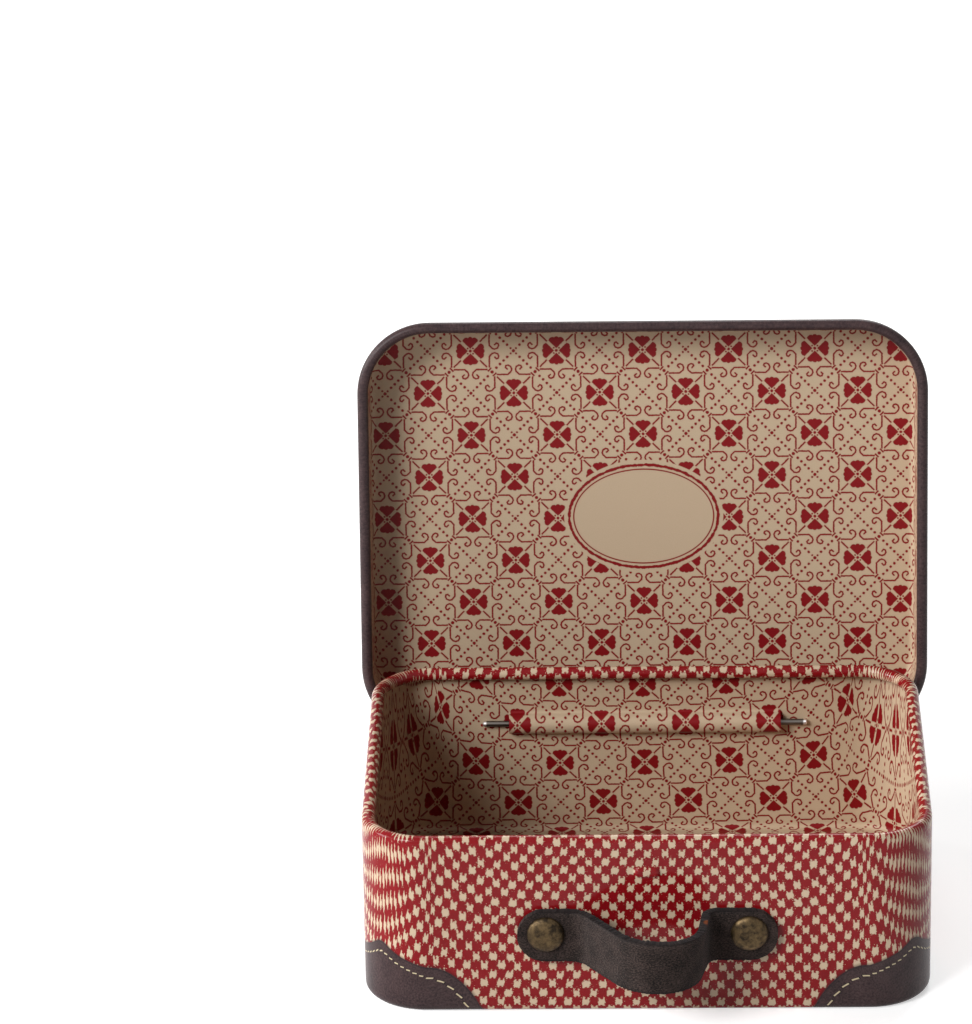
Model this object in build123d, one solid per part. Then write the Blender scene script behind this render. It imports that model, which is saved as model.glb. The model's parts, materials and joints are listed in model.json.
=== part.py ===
"""Miniature tinplate suitcase for a doll, standing open on its bottom.

Two drawn tin trays, joined at the back by a straight steel wire. The lid's sheet is rolled round
the wire as a knuckle, and the knuckle lies in a channel that is pressed into the bottom tray's
back wall. A leather strap is riveted to the front wall as the handle.

Frame, in millimetres: X to the right, Y from the handle to the hinge, Z up. The origin is the
middle of the bottom face. The lid is drawn shut and then turned open on the hinge.
"""
import math
import os

from build123d import *

# Sheet and trays
tin = 0.25
case_width = 90.0
case_depth = 66.0
base_height = 30.4
corner_radius = 10.0
edge_radius = 1.2
base_curl_diameter = 2.1
lid_curl_diameter = 1.8
curl_turn_angle = 300.0

# Lid, as it sits when shut
lid_height = 9.5
lid_side_gap = 0.30
lid_back_gap = 0.15
lid_seat_gap = 0.02
lid_swing_gap = 0.10
open_angle = 100.0

# Hinge
wire_diameter = 1.0
wire_length = 54.0
wire_wall_gap = 0.02
wire_chamfer = 0.15
knuckle_play = 0.03
knuckle_end_gap = 0.30
knuckle_turn_angle = 295.0
knuckle_slope_angle = 45.0
channel_length = 45.2
channel_play = 0.28
stop_gap = 0.03

# Snap dimple under the front rim
latch_length = 4.2
latch_width = 1.8
latch_rise = 0.50
latch_drop = 6.0
latch_draft_angle = 30.0

# Handle
strap_width = 8.6
strap_thickness = 1.2
strap_bulge = 12.2
strap_drop = 0.45
strap_end_reach = 4.5
strap_lift_gap = 2.6
strap_fold_gap = 3.75
handle_height = 14.3
rivet_spacing = 32.0
rivet_cap_diameter = 5.9
rivet_cap_rise = 1.25
rivet_cap_rim = 0.35
rivet_stem_diameter = 2.0
rivet_stem_play = 0.10
rivet_socket_depth = 0.8
rivet_socket_play = 0.02
rivet_head_diameter = 5.6
rivet_head_rise = 0.55
rivet_head_rim = 0.30

# The two ends of the strap's crest, along the rivet spacing and out over the bulge, and the four
# bends of its middle line as shares of the bulge
strap_crest_shares = ((-0.078, 0.91), (0.225, 1.0))
strap_bend_shares = (0.35, 0.60, 0.49, 0.18)

# One overrun serves every cut
overrun = 1.0

# A right angle, in degrees
quarter_turn_angle = 90.0

# Worked out from the sizes above
half_width = case_width / 2
half_depth = case_depth / 2
base_curl_radius = base_curl_diameter / 2
lid_curl_radius = lid_curl_diameter / 2
wire_radius = wire_diameter / 2
lid_face_z = base_height + lid_seat_gap + tin
lid_curl_z = lid_face_z - lid_height + lid_curl_radius

# The wire lies just inside the back wall. Turned open, the lid's rolled rim meets the back wall
# from outside, which sets how far below that rim the wire is.
wire_inset = tin + wire_radius + wire_wall_gap
rim_reach = wire_inset + lid_back_gap + lid_curl_radius
open_turn = math.radians(open_angle)
rim_rise = (lid_curl_radius + wire_inset + stop_gap - rim_reach * math.cos(open_turn)) / math.sin(open_turn)
hinge_y = half_depth - wire_inset
hinge_z = lid_curl_z - rim_rise

# The lid's front wall has to pass the bottom tray's front rim and its dimple on the way down.
front_reach = case_depth - wire_inset
latch_z = base_height - latch_drop
rim_swing = math.hypot(front_reach - base_curl_radius, base_height - base_curl_radius - hinge_z)
rim_swing = rim_swing + base_curl_radius
latch_swing = math.hypot(front_reach + latch_rise, latch_z + latch_width / 2 - hinge_z)
lid_front_gap = max(rim_swing, latch_swing) - front_reach + lid_swing_gap

# The lid's outline, outside its wall
lid_half_width = half_width + lid_side_gap + tin
lid_half_depth = half_depth + (lid_front_gap + lid_back_gap) / 2 + tin
lid_centre_y = (lid_back_gap - lid_front_gap) / 2
lid_corner_radius = corner_radius + lid_side_gap + tin
lid_front_y = lid_centre_y - lid_half_depth

# The channel clears the lid's sheet as it turns.
lid_sheet_reach = wire_inset + lid_back_gap + tin
channel_radius = lid_sheet_reach + channel_play
knuckle_length = channel_length - 2 * knuckle_end_gap


def on_side(centre_y, half_x, half_y, radius, quarter):
    """The start of one side of a rounded rectangle, as a plane: x inwards, y up, z along."""
    along = Vector(1, 0, 0).rotate(Axis.Z, quarter_turn_angle * quarter)
    inward = Vector(0, 1, 0).rotate(Axis.Z, quarter_turn_angle * quarter)
    ahead, aside = (half_x, half_y) if quarter % 2 == 0 else (half_y, half_x)
    start = Vector(0, centre_y, 0) - along * (ahead - radius) - inward * aside
    return Plane(origin=start, x_dir=inward, z_dir=along), 2 * (ahead - radius)


def run_round(section, centre_y, half_x, half_y, radius):
    """The wall that a section makes as it runs round a rounded rectangle."""
    pieces = []
    for quarter in range(4):
        plane, length = on_side(centre_y, half_x, half_y, radius, quarter)
        end = plane.offset(length)
        pivot = Axis(end.origin + end.x_dir * radius, (0, 0, 1))
        pieces.append(extrude(plane * section, amount=length))
        pieces.append(revolve(end * section, axis=pivot, revolution_arc=quarter_turn_angle))
    return Part() + pieces


def plate(centre_y, half_x, half_y, radius, low, high):
    """A flat plate with rounded corners, inset to where the bent edge ends."""
    outline = RectangleRounded(
        2 * (half_x - edge_radius), 2 * (half_y - edge_radius), radius - edge_radius
    )
    return extrude(Pos(0, centre_y, low) * outline, amount=high - low)


def base_wall_section():
    """Bent edge, straight wall and a rim rolled inwards; x inwards from the outside, y up."""
    curl = (base_curl_radius, base_height - base_curl_radius)
    bend = (edge_radius, edge_radius)
    inner = base_curl_radius - tin
    outer_arc = CenterArc(curl, base_curl_radius, 2 * quarter_turn_angle, -curl_turn_angle)
    inner_arc = CenterArc(curl, inner, 2 * quarter_turn_angle - curl_turn_angle, curl_turn_angle)
    lines = Curve() + [
        CenterArc(bend, edge_radius, -quarter_turn_angle, -quarter_turn_angle),
        Line((0, edge_radius), (0, curl[1])),
        outer_arc,
        Line(outer_arc @ 1, inner_arc @ 0),
        inner_arc,
        Line((tin, curl[1]), (tin, edge_radius)),
        CenterArc(bend, edge_radius - tin, 2 * quarter_turn_angle, quarter_turn_angle),
        Line((edge_radius, tin), (edge_radius, 0)),
    ]
    return make_face(lines)


def lid_wall_section():
    """Bent edge, straight wall and a rim rolled outwards; x inwards from the outside, y up."""
    curl = (tin - lid_curl_radius, lid_curl_z)
    bend = (edge_radius, lid_face_z - edge_radius)
    inner_arc = CenterArc(curl, lid_curl_radius - tin, 0, -curl_turn_angle)
    outer_arc = CenterArc(curl, lid_curl_radius, -curl_turn_angle, curl_turn_angle)
    lines = Curve() + [
        CenterArc(bend, edge_radius, quarter_turn_angle, quarter_turn_angle),
        Line((0, bend[1]), (0, curl[1])),
        inner_arc,
        Line(inner_arc @ 1, outer_arc @ 0),
        outer_arc,
        Line((tin, curl[1]), (tin, bend[1])),
        CenterArc(bend, edge_radius - tin, 2 * quarter_turn_angle, -quarter_turn_angle),
        Line((edge_radius, lid_face_z - tin), (edge_radius, lid_face_z)),
    ]
    return make_face(lines)


def dimple_form(surface_y, lead, inset):
    """A drafted bar that rises forwards from a surface, with a straight lead behind it."""
    outline = SlotOverall(latch_length - 2 * inset, latch_width - 2 * inset)
    plane = Plane(origin=(0, surface_y, latch_z), x_dir=(1, 0, 0), z_dir=(0, -1, 0))
    straight = extrude(plane.offset(-lead) * outline, amount=lead)
    return straight + extrude(plane * outline, amount=latch_rise, taper=latch_draft_angle)


def press_dimple(tray, wall_y):
    """Presses the snap bar out of a front wall; its back is hollow."""
    raised = tray + dimple_form(wall_y, tin / 2, 0)
    return raised - dimple_form(wall_y + tin, overrun, tin)


def channel_block(radius, length, outside):
    """A bar with a half-round inner side, round the hinge line and out through the wall."""
    plane = Plane(origin=(-length / 2, hinge_y, hinge_z), x_dir=(0, 1, 0), z_dir=(1, 0, 0))
    depth = wire_inset + outside
    section = Circle(radius) + Pos(depth / 2, 0) * Rectangle(depth, 2 * radius)
    section = section - Pos(depth + radius, 0) * Rectangle(2 * radius, 4 * radius)
    return extrude(plane * section, amount=length)


def rivet_places():
    """The two rivets: their name and their place along the handle."""
    return (("left", -rivet_spacing / 2), ("right", rivet_spacing / 2))


def along_y(x, start_y, radius, length):
    """A round bar or hole at a rivet, from start_y towards the front."""
    plane = Plane(origin=(x, start_y, handle_height), x_dir=(1, 0, 0), z_dir=(0, -1, 0))
    return extrude(plane * Circle(radius), amount=length)


def base_tray():
    """Bottom tray: drawn sheet, rim rolled inwards, hinge channel, snap dimple, rivet holes."""
    tray = run_round(base_wall_section(), 0, half_width, half_depth, corner_radius)
    tray = tray + plate(0, half_width, half_depth, corner_radius, 0, tin)
    tray = tray + channel_block(channel_radius + tin, channel_length, 0)
    tray = tray - channel_block(channel_radius, channel_length + 2 * overrun, overrun) \
        .intersect(Box(channel_length, 2 * case_depth, 2 * base_height))
    tray = press_dimple(tray, -half_depth)
    hole = rivet_stem_diameter / 2 + rivet_stem_play
    for _, x in rivet_places():
        tray = tray - along_y(x, overrun - half_depth, hole, 2 * overrun)
    return tray


def lid_knuckle():
    """The lid's sheet where it leaves the back wall, crosses to the wire and rolls round it."""
    inner = wire_radius + knuckle_play
    outer = inner + tin
    wall_out = lid_sheet_reach
    wall_in = lid_sheet_reach - tin
    slope = math.radians(knuckle_slope_angle)
    start = knuckle_slope_angle - quarter_turn_angle
    outer_arc = CenterArc((0, 0), outer, start, -knuckle_turn_angle)
    inner_arc = CenterArc((0, 0), inner, start - knuckle_turn_angle, knuckle_turn_angle)

    def crossing(radius, wall):
        leave = Vector(radius * math.sin(slope), -radius * math.cos(slope))
        return (wall, leave.Y + (wall - leave.X) * math.tan(slope))

    top = rim_rise + lid_curl_radius
    lines = Curve() + [
        Line((wall_out, top), crossing(outer, wall_out)),
        Line(crossing(outer, wall_out), outer_arc @ 0),
        outer_arc,
        Line(outer_arc @ 1, inner_arc @ 0),
        inner_arc,
        Line(inner_arc @ 1, crossing(inner, wall_in)),
        Line(crossing(inner, wall_in), (wall_in, top)),
        Line((wall_in, top), (wall_out, top)),
    ]
    plane = Plane(origin=(-knuckle_length / 2, hinge_y, hinge_z), x_dir=(0, 1, 0), z_dir=(1, 0, 0))
    return extrude(plane * make_face(lines), amount=knuckle_length)


def lid_tray():
    """Lid, shut: drawn sheet, rim rolled outwards except at the knuckle, dimple over the snap."""
    tray = run_round(lid_wall_section(), lid_centre_y, lid_half_width, lid_half_depth, lid_corner_radius)
    tray = tray + plate(
        lid_centre_y, lid_half_width, lid_half_depth, lid_corner_radius, lid_face_z - tin, lid_face_z
    )
    notch_top = lid_curl_z + lid_curl_radius
    notch = Box(channel_length, 2 * lid_curl_diameter + 2 * overrun, 2 * lid_curl_diameter)
    tray = tray - Pos(0, half_depth + lid_back_gap + lid_curl_radius, notch_top - lid_curl_diameter) * notch
    tray = tray + lid_knuckle()
    return press_dimple(tray, lid_front_y)


def opened(piece):
    """Turns a piece of the lid from shut to its open rest on the stop."""
    return piece.rotate(Axis((0, hinge_y, hinge_z), (1, 0, 0)), -open_angle)


def hinge_wire():
    """A straight steel wire with its ends just chamfered."""
    plane = Plane(origin=(-wire_length / 2, hinge_y, hinge_z), x_dir=(0, 1, 0), z_dir=(1, 0, 0))
    wire = extrude(plane * Circle(wire_radius), amount=wire_length)
    ends = wire.edges().filter_by(GeomType.CIRCLE)
    return chamfer(ends, wire_chamfer)


def handle_strap():
    """One strip of leather: flat under each rivet, drawn out between them, steeper on the right.
    It sits a little low on its rivets."""
    wall = -half_depth - strap_thickness / 2
    middle = handle_height - strap_drop
    reach = rivet_spacing / 2 + strap_end_reach
    between_caps = (rivet_spacing - rivet_cap_diameter) / 2
    points = [(-reach, wall), (strap_lift_gap - between_caps, wall)]
    for along, out in strap_crest_shares:
        points.append((along * rivet_spacing, wall - out * strap_bulge))
    points = points + [(between_caps - strap_fold_gap, wall), (reach, wall)]
    bends = [share * strap_bulge for share in strap_bend_shares]
    line = FilletPolyline(points, radius=bends)
    strip = extrude(trace(line, strap_thickness), amount=strap_width / 2, both=True)
    strip = Pos(0, 0, middle) * strip
    outline = SlotOverall(2 * reach, strap_width)
    front = Plane(origin=(0, -half_depth, middle), x_dir=(1, 0, 0), z_dir=(0, -1, 0))
    strip = strip & extrude(front * outline, amount=strap_bulge + 2 * strap_thickness)
    hole = rivet_stem_diameter / 2 + rivet_stem_play
    for _, x in rivet_places():
        strip = strip - along_y(x, -half_depth + overrun, hole, strap_thickness + 2 * overrun)
    return strip


def dome(x, seat_y, forward, diameter, rim, rise):
    """A low round cap on a wall: a short rim and a ball-shaped crown over it."""
    radius = diameter / 2
    height = rise - rim
    crown_radius = (radius ** 2 + height ** 2) / (2 * height)
    crown_angle = math.degrees(math.asin(radius / crown_radius))
    plane = Plane(origin=(x, seat_y, handle_height), x_dir=(1, 0, 0), z_dir=(0, 0, -forward))
    section = Curve() + [
        Line((0, 0), (radius, 0)),
        Line((radius, 0), (radius, rim)),
        CenterArc((0, rise - crown_radius), crown_radius, quarter_turn_angle - crown_angle, crown_angle),
        Line((0, rise), (0, 0)),
    ]
    return revolve(plane * make_face(section), axis=Axis(plane.origin, (0, 1, 0)))


def rivet_cap(x):
    """Domed brass cap on the strap, with a socket that grips the stem."""
    seat = -half_depth - strap_thickness
    cap = dome(x, seat, 1, rivet_cap_diameter, rivet_cap_rim, rivet_cap_rise)
    socket = rivet_stem_diameter / 2 + rivet_socket_play
    return cap - along_y(x, seat + overrun, socket, overrun + rivet_socket_depth)


def rivet_post(x):
    """Flat-domed head inside the tray and the stem through wall and strap into the cap."""
    seat = -half_depth + tin
    head = dome(x, seat, -1, rivet_head_diameter, rivet_head_rim, rivet_head_rise)
    length = tin + strap_thickness + rivet_socket_depth - rivet_socket_play
    return head + along_y(x, seat, rivet_stem_diameter / 2, length)


def write(name, shape):
    """One STEP per piece, with its size printed."""
    size = shape.bounding_box().size
    solids = len(shape.solids())
    print(f"{name}: {solids} solid(s), {size.X:.2f} x {size.Y:.2f} x {size.Z:.2f} mm")
    export_step(shape, os.path.join("parts", name + ".step"))


os.makedirs("parts", exist_ok=True)
print(f"hinge line y {hinge_y:.3f}, z {hinge_z:.3f}; lid front gap {lid_front_gap:.3f} mm")
write("base_tray", base_tray())
write("lid_tray", opened(lid_tray()))
write("hinge_wire", hinge_wire())
write("handle_strap", handle_strap())
for side_name, place in rivet_places():
    write("rivet_cap_" + side_name, rivet_cap(place))
    write("rivet_post_" + side_name, rivet_post(place))
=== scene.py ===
# %% [markdown]
# A doll's suitcase in printed tin, modelled round its CAD frame. The real case is two trays, each
# drawn in one press stroke from a flat sheet that was printed beforehand. That order of work decides
# everything here: the trays are modelled as thin sheets, and each sheet carries a map back to the
# flat blank that it was drawn from, so that the print stretches in the corners as the real one does.

# %% The frame
import json
import math
from functools import partialmethod

import bpy
import numpy as np
from mathutils import Matrix, Vector

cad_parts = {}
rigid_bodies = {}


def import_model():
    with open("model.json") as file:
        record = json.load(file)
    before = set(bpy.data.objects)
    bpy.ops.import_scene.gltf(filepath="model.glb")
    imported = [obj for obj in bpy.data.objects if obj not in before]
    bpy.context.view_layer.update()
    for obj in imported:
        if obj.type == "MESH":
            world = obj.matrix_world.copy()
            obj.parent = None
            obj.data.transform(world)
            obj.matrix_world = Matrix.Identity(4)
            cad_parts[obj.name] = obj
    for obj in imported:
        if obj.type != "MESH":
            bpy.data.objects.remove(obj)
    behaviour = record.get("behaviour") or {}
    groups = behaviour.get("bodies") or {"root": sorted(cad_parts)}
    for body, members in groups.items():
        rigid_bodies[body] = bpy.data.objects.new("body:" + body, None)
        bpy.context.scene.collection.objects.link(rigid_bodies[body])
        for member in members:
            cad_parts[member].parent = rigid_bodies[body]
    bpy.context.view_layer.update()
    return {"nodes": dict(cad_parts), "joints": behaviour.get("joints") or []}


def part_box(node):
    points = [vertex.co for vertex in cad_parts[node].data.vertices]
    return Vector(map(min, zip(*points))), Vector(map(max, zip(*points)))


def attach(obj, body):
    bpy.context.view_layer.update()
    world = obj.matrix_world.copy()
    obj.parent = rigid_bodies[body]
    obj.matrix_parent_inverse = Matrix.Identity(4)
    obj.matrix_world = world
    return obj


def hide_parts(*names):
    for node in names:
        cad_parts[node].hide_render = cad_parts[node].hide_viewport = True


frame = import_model()
print("CAD nodes:", sorted(frame["nodes"]))

# %% [markdown]
# The camera comes first, because it tells which details can be seen. A long lens far away keeps the
# upright walls nearly parallel, as a studio shot of a small thing does.

# %% The camera
mm = 0.001
camera_place = Vector((-3.18, -892.5, 447.7)) * mm
camera_pitch = math.radians(22.826)
camera_yaw = math.radians(1.405)
camera_roll = math.radians(-0.988)
photo_focal_pixels = 6106.7
photo_height_pixels = 1024.0

bpy.ops.object.camera_add(location=camera_place, rotation=(math.pi / 2 - camera_pitch, 0, camera_yaw))
camera = bpy.context.object
camera.rotation_euler.rotate_axis("Z", camera_roll)
camera.data.sensor_width = 36.0
camera.data.lens = photo_focal_pixels * camera.data.sensor_width / photo_height_pixels
camera.data.clip_start = 0.01
bpy.context.scene.camera = camera
print("lens", round(camera.data.lens, 1), "mm")

# %% [markdown]
# Finishes are patterns worked out from numbers: how far a point lies from a dot, a line or a ring.
# Written as plain Math nodes that takes pages, so a small Field class lets Python's own signs add
# the nodes. A Field is one number that varies over the surface.

# %% Fields: sums that add Math nodes
class Field:
    """A number that varies over a surface. Sums with it add Math nodes to the material."""

    def __init__(self, tree, socket):
        self.tree, self.socket = tree, socket

    def node(self, operation, *others):
        made = self.tree.nodes.new("ShaderNodeMath")
        made.operation = operation
        for place, value in zip(made.inputs, (self, *others)):
            feed(self.tree, place, value)
        return Field(self.tree, made.outputs[0])

    __add__ = partialmethod(node, "ADD")
    __sub__ = partialmethod(node, "SUBTRACT")
    __mul__ = partialmethod(node, "MULTIPLY")
    __truediv__ = partialmethod(node, "DIVIDE")
    __abs__ = partialmethod(node, "ABSOLUTE")
    floor = partialmethod(node, "FLOOR")
    above = partialmethod(node, "GREATER_THAN")

    def __rsub__(self, other):
        return (self * -1.0) + other

    def wrap(self, low, high):
        return self.node("WRAP", high, low)

    def in_turn(self, operation, others):
        result = self
        for other in others:
            result = result.node(operation, other)
        return result

    def least(self, *others):
        return self.in_turn("MINIMUM", others)

    def most(self, *others):
        return self.in_turn("MAXIMUM", others)

    def clamped(self):
        return self.least(1.0).most(0.0)


def feed(tree, place, value):
    """Gives an input a link, a Field or a plain value."""
    if isinstance(value, Field):
        tree.links.new(value.socket, place)
    elif isinstance(value, bpy.types.NodeSocket):
        tree.links.new(value, place)
    else:
        place.default_value = value


def far(x, y):
    """How far (x, y) lies from nought."""
    return (x * x + y * y).node("SQRT")


def covered(distance, soft):
    """1 inside a shape and 0 outside, from the distance to its outline."""
    return distance.node("MULTIPLY_ADD", -1.0 / soft, 0.5).clamped()


# %% Helpers for materials
def new_material(name):
    """A material with only its surface shader and output."""
    material = bpy.data.materials.new(name)
    material.use_nodes = True
    return material, material.node_tree, material.node_tree.nodes["Principled BSDF"]


def fill(tree, node, **inputs):
    """Feeds some of a node's inputs. Names use _ for a space."""
    for name, value in inputs.items():
        feed(tree, node.inputs[name.replace("_", " ")], value)
    return node


def add(tree, kind, **inputs):
    """A new node with some of its inputs fed."""
    return fill(tree, tree.nodes.new(kind), **inputs)


def noise(tree, place, scale, detail=2.0, roughness=0.5):
    """A Noise texture as a Field around 0.5."""
    made = add(tree, "ShaderNodeTexNoise", Vector=place, Scale=scale, Detail=detail, Roughness=roughness)
    return Field(tree, made.outputs["Fac"])


def blend_colour(tree, share, first, second):
    """From the first colour at share 0 to the second at 1."""
    made = tree.nodes.new("ShaderNodeMix")
    made.data_type = "RGBA"
    return fill(tree, made, Factor=share, A=first, B=second).outputs["Result"]


def paint(red, green, blue):
    """A colour as a screen shows it, 0 to 255, turned into light."""
    levels = [level / 255 for level in (red, green, blue)]
    return tuple(level / 12.92 if level < 0.04045 else ((level + 0.055) / 1.055) ** 2.4
                 for level in levels) + (1.0,)


def bumped(tree, shader, height, depth):
    """Gives the shader a bump of that real depth in metres."""
    made = add(tree, "ShaderNodeBump", Strength=1.0, Distance=depth, Height=height)
    fill(tree, shader, Normal=made.outputs["Normal"])


def blank_place(tree, map_name):
    """The place on the flat blank, in millimetres, from the sheet's own map."""
    made = tree.nodes.new("ShaderNodeUVMap")
    made.uv_map = map_name
    parts = add(tree, "ShaderNodeSeparateXYZ", Vector=made.outputs["UV"])
    return Field(tree, parts.outputs["X"]), Field(tree, parts.outputs["Y"]), made.outputs["UV"]


print("helpers ready")

# %% [markdown]
# The outside print is a coarse knitted look: rows of cream blobs on red, each row shifted by half a
# blob. Every blob has two ears and two feet, like a tooth, and no two are alike, so each cell draws
# its own numbers from White Noise. Two staggered lattices are laid over each other, so that a blob
# may grow past its own row without being cut off.

# %% The outside print
# All in mm: a blob's body, the places of its ears and feet and half their lengths, how round their
# tips are, and how far the draws spread each of these.
blob_pitch, row_pitch = 2.69, 1.52
blob_half_width, blob_half_height, blob_round = 0.57, 0.48, 0.40
ear_x, ear_y, ear_length = 0.36, 0.52, 0.16
foot_x, foot_y, foot_length = 0.34, -0.46, 0.06
tip_round, tip_spread = 0.14, 0.08
slide_spread, lift_spread, size_spread = 0.30, 0.26, 0.16
tilt_spread, lean_spread = 0.5, 0.30
lattice_shift = (-0.09, 1.21)
red_ink = paint(142, 19, 25)
deep_red_ink = paint(120, 10, 17)
cream_ink = paint(203, 181, 154)


def blob_lattice(tree, u, v, shift_u, shift_v, seed):
    """Distance in mm to the blobs of one lattice, which is one row in two."""
    column = ((u + shift_u) / blob_pitch).floor()
    row = ((v + shift_v) / (2 * row_pitch)).floor()
    a = (u + shift_u) - (column + 0.5) * blob_pitch
    b = (row + 0.5) * (2 * row_pitch) - (v + shift_v)
    cell = add(tree, "ShaderNodeCombineXYZ", X=column, Y=row, Z=seed)
    draws = []
    for salt in (0.0, 7.0):
        white = tree.nodes.new("ShaderNodeTexWhiteNoise")
        white.noise_dimensions = "4D"
        feed(tree, white.inputs["Vector"], cell.outputs[0])
        white.inputs["W"].default_value = salt
        parts = add(tree, "ShaderNodeSeparateColor", Color=white.outputs["Color"])
        draws += [Field(tree, parts.outputs[k]) - 0.5 for k in range(3)]
    slide, lift, size, tilt, ear_size, lean = draws
    b = b + lift * lift_spread
    a = a + slide * slide_spread + b * lean * lean_spread
    corner_x = (abs(a) - (blob_half_width - blob_round)).most(0.0)
    corner_y = (abs(b) - (blob_half_height - blob_round)).most(0.0)
    body = far(corner_x, corner_y) - blob_round - size * size_spread
    tilted = b + a * tilt * tilt_spread
    ear = far(abs(a) - ear_x, (abs(tilted - ear_y) - ear_length).most(0.0)) - tip_round
    foot = far(abs(a) - foot_x, (abs(b - foot_y) - foot_length).most(0.0)) - tip_round
    return body.least(ear - ear_size * tip_spread, foot + ear_size * tip_spread)


def red_print(tree, u, v, place):
    """The colour of the knitted print at a place on the blank."""
    ragged = (noise(tree, place, 2.2, 1.0) - 0.5) * 0.34 + (noise(tree, place, 6.5, 0.0) - 0.5) * 0.24
    first = blob_lattice(tree, u, v, *lattice_shift, 1.0)
    half_way = (lattice_shift[0] + blob_pitch / 2, lattice_shift[1] + row_pitch)
    blobs = first.least(blob_lattice(tree, u, v, *half_way, 2.0))
    specks = ((noise(tree, place, 5.0, 0.0) - 0.77) * -2.5).most(blobs - 0.38)
    shape = (blobs + ragged).least(specks)
    ink = blend_colour(tree, noise(tree, place, 0.35), deep_red_ink, red_ink)
    return blend_colour(tree, covered(shape, 0.09), ink, cream_ink)


print("blob print:", blob_pitch, "by", row_pitch, "mm")

# %% [markdown]
# Each corner of the outside shows a printed leather patch with a row of printed stitches. The patch
# is a disc round a point just inside the sheet's corner. The stitches are cut from a ring by its
# angle, and each lies a little across the ring, as hand stitches do.

# %% The printed corner patches
patch_radius = 14.8
patch_inset = 5.0
stitch_ring = patch_radius - 1.9
stitch_pitch, stitch_lean = 2.0, 0.16
stitch_half_length, stitch_half_width = 0.60, 0.12
hole_half_length, hole_half_width = 0.82, 0.20
patch_brown = paint(78, 60, 60)
patch_dark = paint(30, 20, 24)
thread_cream = paint(206, 190, 156)


def patch_distances(u, v, reach_x, reach_y):
    """Distance from the patch's edge and from a stitch, and the place along and across that stitch."""
    x = abs(u) - (reach_x - patch_inset)
    y = abs(v) - (reach_y - patch_inset)
    reach = far(x, y)
    steps = y.node("ARCTAN2", x) * (stitch_ring / stitch_pitch)
    along = steps.wrap(-0.5, 0.5) * stitch_pitch
    across = reach - stitch_ring - along * stitch_lean
    stitch = (abs(along) - stitch_half_length).most(abs(across) - stitch_half_width)
    return reach - patch_radius, stitch, along, across


def leather_print(tree, place):
    """The printed leather: dark brown with a fine reddish mottling."""
    fine = noise(tree, place, 2.4, 3.0, 0.8)
    broad = noise(tree, place, 0.25, 2.0)
    share = fine * 2.4 + broad * 0.8 - 1.05
    return blend_colour(tree, share.clamped(), patch_dark, patch_brown)


print("patch radius", patch_radius, "mm, stitches every", stitch_pitch, "mm")

# %% [markdown]
# Travel labels are printed on the lid's face as if they were stuck there. Each is a stack of flat
# shapes, so it is written as layers of a distance and a colour, from the paper up. Their artwork is
# plain: rings, bars, lozenges and a compass star.

# %% The travel labels
label_black = paint(32, 28, 27)
label_cream = paint(196, 174, 138)
label_green = paint(22, 68, 56)
label_pink = paint(176, 126, 104)
slant = 0.707  # the cosine of 45 degrees


def seen_from(u, v, centre_x, centre_y, tilt):
    """The place as seen from a label's own centre and tilt in degrees."""
    x, y = u - centre_x, v - centre_y
    across, up = math.cos(math.radians(tilt)), math.sin(math.radians(tilt))
    return x * across + y * up, y * across - x * up


def cut_box(x, y, half_width, half_height, cut):
    """Distance to a box with its corners cut off."""
    sides = (abs(x) - half_width).most(abs(y) - half_height)
    return sides.most((abs(x) + abs(y) - (half_width + half_height - cut)) * slant)


def star(x, y, reach):
    """Distance to a star with four thin points."""
    x, y = abs(x), abs(y)
    return (x.most(y) + x.least(y) * 3.4 - reach) * 0.28


def round_steps(x, y, count, radius):
    """Along and out from the nearest of some marks spread round a ring."""
    turn = (y.node("ARCTAN2", x) * (count / math.tau)).wrap(-0.5, 0.5)
    return turn * (math.tau * radius / count), far(x, y) - radius


def star_label(u, v):
    """A round label: a green ring with bars, dark at its foot, and a compass star."""
    x, y = seen_from(u, v, -3.4, -17.0, -14.0)
    reach = far(x, y)
    along, out = round_steps(x, y, 22, 9.0)
    bars = cut_box(along, out, 0.55, 1.15, 0.3)
    turned_x, turned_y = (x + y) * slant, (y - x) * slant
    return [(reach - 11.2, paint(96, 132, 108)), ((reach - 11.2).most(y + 5.6), label_black),
            (bars, label_cream), (reach - 7.3, label_black), (reach - 7.0, label_cream),
            (star(turned_x, turned_y, 4.6), paint(110, 88, 66)), (star(x, y, 6.4), label_black),
            (reach - 0.8, label_cream), (abs(reach - 11.05) - 0.12, label_black)]


def band_label(u, v):
    """A round label: tan paper, a dark green disc and a band of lozenges."""
    x, y = seen_from(u, v, -25.1, -0.3, 6.0)
    reach = far(x, y)
    along, out = round_steps(x, y, 30, 6.6)
    dots = (far(along, out) - 0.28).most(2.9 - abs(y))
    lozenges = (abs(x.wrap(-1.3, 1.3)) * 1.3 + abs(y) - 1.1) * 0.6
    small = star(x, abs(y) - 4.6, 1.9)
    return [(reach - 10.6, paint(170, 128, 78)), (reach - 9.4, label_green),
            (abs(reach - 8.9) - 0.13, label_cream), (dots.least(small), label_cream),
            ((reach - 8.6).most(abs(y) - 2.2), label_cream),
            ((reach - 8.6).most(abs(y) - 1.85), label_green),
            (lozenges.most(abs(x) - 7.7), label_cream)]


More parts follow.
